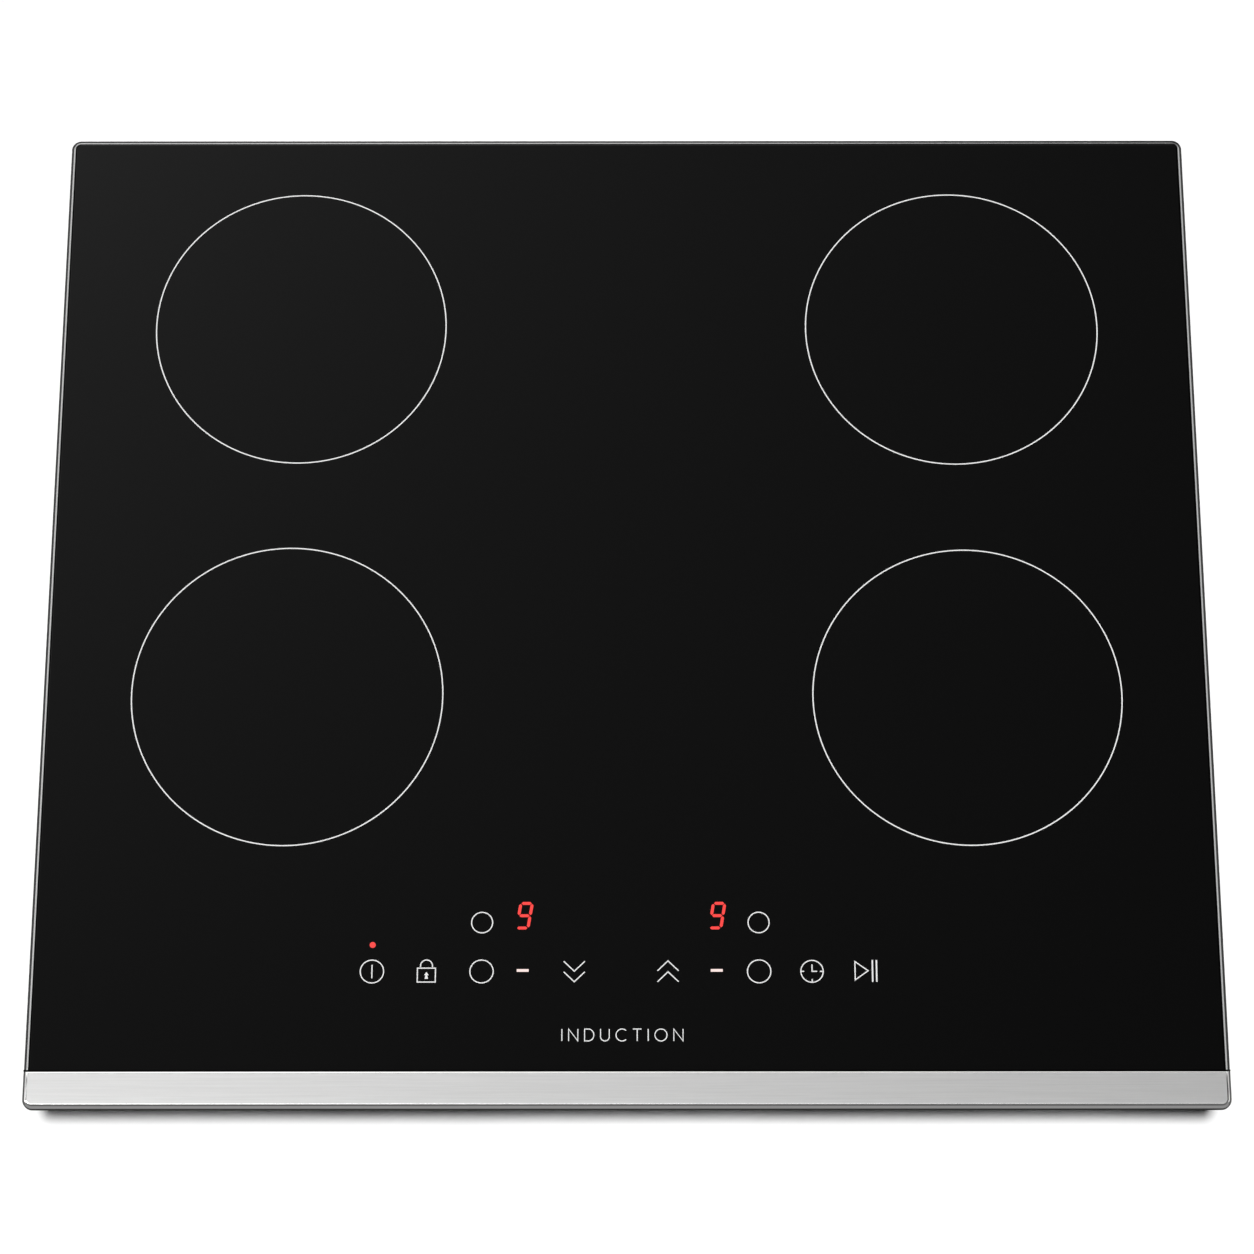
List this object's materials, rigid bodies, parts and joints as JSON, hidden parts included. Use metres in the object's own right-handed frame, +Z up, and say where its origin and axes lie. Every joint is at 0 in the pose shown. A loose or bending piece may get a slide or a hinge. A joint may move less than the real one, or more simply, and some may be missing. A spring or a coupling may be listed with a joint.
{
  "type": "induction hob",
  "caption": "Built-in induction hob: black glass-ceramic plate with facet edge and brushed front trim over a steel pan that holds coils, fans and electronics, with swinging worktop clamps.",
  "frame": {"origin": "middle of the overall footprint, at the underside of the base pan", "axes": "+X to the cook's right, +Y away from the cook, +Z up out of the glass"},
  "size_m": [0.59, 0.52, 0.062],
  "materials": {
    "black_glass": "polished black glass-ceramic, opaque",
    "brushed_trim": "brushed along its length",
    "black_plastic": "fine moulded texture",
    "foam_seal": "closed-cell foam",
    "galvanised_sheet": "hot-dip galvanised sheet with soft spangle",
    "zinc_screw": "bright zinc plated",
    "zinc_casting": "plain zinc casting",
    "aluminium_sheet": "mill finish",
    "aluminium_fins": "extruded",
    "copper_winding": "lacquered copper litz",
    "white_plastic": "glass-filled moulding",
    "ferrite": "sintered, dull",
    "mica": "pressed mica flakes",
    "sensor_ceramic": "unglazed",
    "circuit_board": "solder mask",
    "display_module": "moulded display housing",
    "ribbon": "grey flat cable"
  },
  "bodies": {
    "root": {"glass_ceramic_plate": "black_glass", "front_trim": "brushed_trim", "trim_carrier": "black_plastic", "perimeter_seal": "foam_seal", "mounting_frame": "galvanised_sheet", "base_pan": "galvanised_sheet", "pan_screw_front_left": "zinc_screw", "pan_screw_front_right": "zinc_screw", "pan_screw_back_left": "zinc_screw", "pan_screw_back_right": "zinc_screw", "coil_plate_left": "aluminium_sheet", "mica_sheet_left": "mica", "inverter_board_left": "circuit_board", "heat_sink_left": "aluminium_fins", "fan_housing_left": "black_plastic", "display_left": "display_module", "coil_plate_right": "aluminium_sheet", "mica_sheet_right": "mica", "inverter_board_right": "circuit_board", "heat_sink_right": "aluminium_fins", "fan_housing_right": "black_plastic", "display_right": "display_module", "coil_back_left": "copper_winding", "coil_former_back_left": "white_plastic", "ferrite_star_back_left": "ferrite", "coil_back_right": "copper_winding", "coil_former_back_right": "white_plastic", "ferrite_star_back_right": "ferrite", "coil_front_left": "copper_winding", "coil_former_front_left": "white_plastic", "ferrite_star_front_left": "ferrite", "coil_front_right": "copper_winding", "coil_former_front_right": "white_plastic", "ferrite_star_front_right": "ferrite", "electronics_tray": "white_plastic", "filter_board": "circuit_board", "control_board": "circuit_board", "control_holder": "black_plastic", "ribbon_cable": "ribbon", "terminal_block": "white_plastic", "cable_gland": "black_plastic", "clamp_bracket_front_left": "galvanised_sheet", "clamp_bracket_front_right": "galvanised_sheet", "clamp_bracket_back_left": "galvanised_sheet", "clamp_bracket_back_right": "galvanised_sheet"},
    "fan_left": {"fan_rotor_left": "black_plastic"},
    "fan_right": {"fan_rotor_right": "black_plastic"},
    "sensor_back_left": {"sensor_back_left": "sensor_ceramic"},
    "sensor_back_right": {"sensor_back_right": "sensor_ceramic"},
    "sensor_front_left": {"sensor_front_left": "sensor_ceramic"},
    "sensor_front_right": {"sensor_front_right": "sensor_ceramic"},
    "clamp_screw_front_left": {"clamp_screw_front_left": "zinc_screw"},
    "clamp_claw_front_left": {"clamp_claw_front_left": "zinc_casting"},
    "clamp_screw_front_right": {"clamp_screw_front_right": "zinc_screw"},
    "clamp_claw_front_right": {"clamp_claw_front_right": "zinc_casting"},
    "clamp_screw_back_left": {"clamp_screw_back_left": "zinc_screw"},
    "clamp_claw_back_left": {"clamp_claw_back_left": "zinc_casting"},
    "clamp_screw_back_right": {"clamp_screw_back_right": "zinc_screw"},
    "clamp_claw_back_right": {"clamp_claw_back_right": "zinc_casting"},
    "terminal_cover": {"terminal_cover": "black_plastic"}
  },
  "joints": [
    {"name": "fan_left_spin", "type": "hinge", "parent": "root", "child": "fan_left", "pos_m": [-0.171, 0.176, 0.01], "axis": [0, 0, 1], "continuous": true},
    {"name": "fan_right_spin", "type": "hinge", "parent": "root", "child": "fan_right", "pos_m": [0.171, 0.176, 0.01], "axis": [0, 0, 1], "continuous": true},
    {"name": "sensor_back_left_press", "type": "slide", "parent": "root", "child": "sensor_back_left", "axis": [0, 0, -1], "range_m": [0, 0.002], "stiffness_N_per_m": 300, "springref_m": -0.003},
    {"name": "sensor_back_right_press", "type": "slide", "parent": "root", "child": "sensor_back_right", "axis": [0, 0, -1], "range_m": [0, 0.002], "stiffness_N_per_m": 300, "springref_m": -0.003},
    {"name": "sensor_front_left_press", "type": "slide", "parent": "root", "child": "sensor_front_left", "axis": [0, 0, -1], "range_m": [0, 0.002], "stiffness_N_per_m": 300, "springref_m": -0.003},
    {"name": "sensor_front_right_press", "type": "slide", "parent": "root", "child": "sensor_front_right", "axis": [0, 0, -1], "range_m": [0, 0.002], "stiffness_N_per_m": 300, "springref_m": -0.003},
    {"name": "clamp_front_left_swing", "type": "hinge", "parent": "root", "child": "clamp_screw_front_left", "pos_m": [-0.2725, -0.15, 0.01], "axis": [0, 0, 1], "range_deg": [0, 90]},
    {"name": "clamp_front_left_lift", "type": "slide", "parent": "clamp_screw_front_left", "child": "clamp_claw_front_left", "axis": [0, 0, 1], "range_m": [0, 0.024]},
    {"name": "clamp_front_right_swing", "type": "hinge", "parent": "root", "child": "clamp_screw_front_right", "pos_m": [0.2725, -0.15, 0.01], "axis": [0, 0, -1], "range_deg": [0, 90]},
    {"name": "clamp_front_right_lift", "type": "slide", "parent": "clamp_screw_front_right", "child": "clamp_claw_front_right", "axis": [0, 0, 1], "range_m": [0, 0.024]},
    {"name": "clamp_back_left_swing", "type": "hinge", "parent": "root", "child": "clamp_screw_back_left", "pos_m": [-0.2725, 0.15, 0.01], "axis": [0, 0, -1], "range_deg": [0, 90]},
    {"name": "clamp_back_left_lift", "type": "slide", "parent": "clamp_screw_back_left", "child": "clamp_claw_back_left", "axis": [0, 0, 1], "range_m": [0, 0.024]},
    {"name": "clamp_back_right_swing", "type": "hinge", "parent": "root", "child": "clamp_screw_back_right", "pos_m": [0.2725, 0.15, 0.01], "axis": [0, 0, 1], "range_deg": [0, 90]},
    {"name": "clamp_back_right_lift", "type": "slide", "parent": "clamp_screw_back_right", "child": "clamp_claw_back_right", "axis": [0, 0, 1], "range_m": [0, 0.024]},
    {"name": "terminal_cover_hinge", "type": "hinge", "parent": "root", "child": "terminal_cover", "pos_m": [0, 0.2385, 0.0495], "axis": [1, 0, 0], "range_deg": [0, 90]}
  ]
}
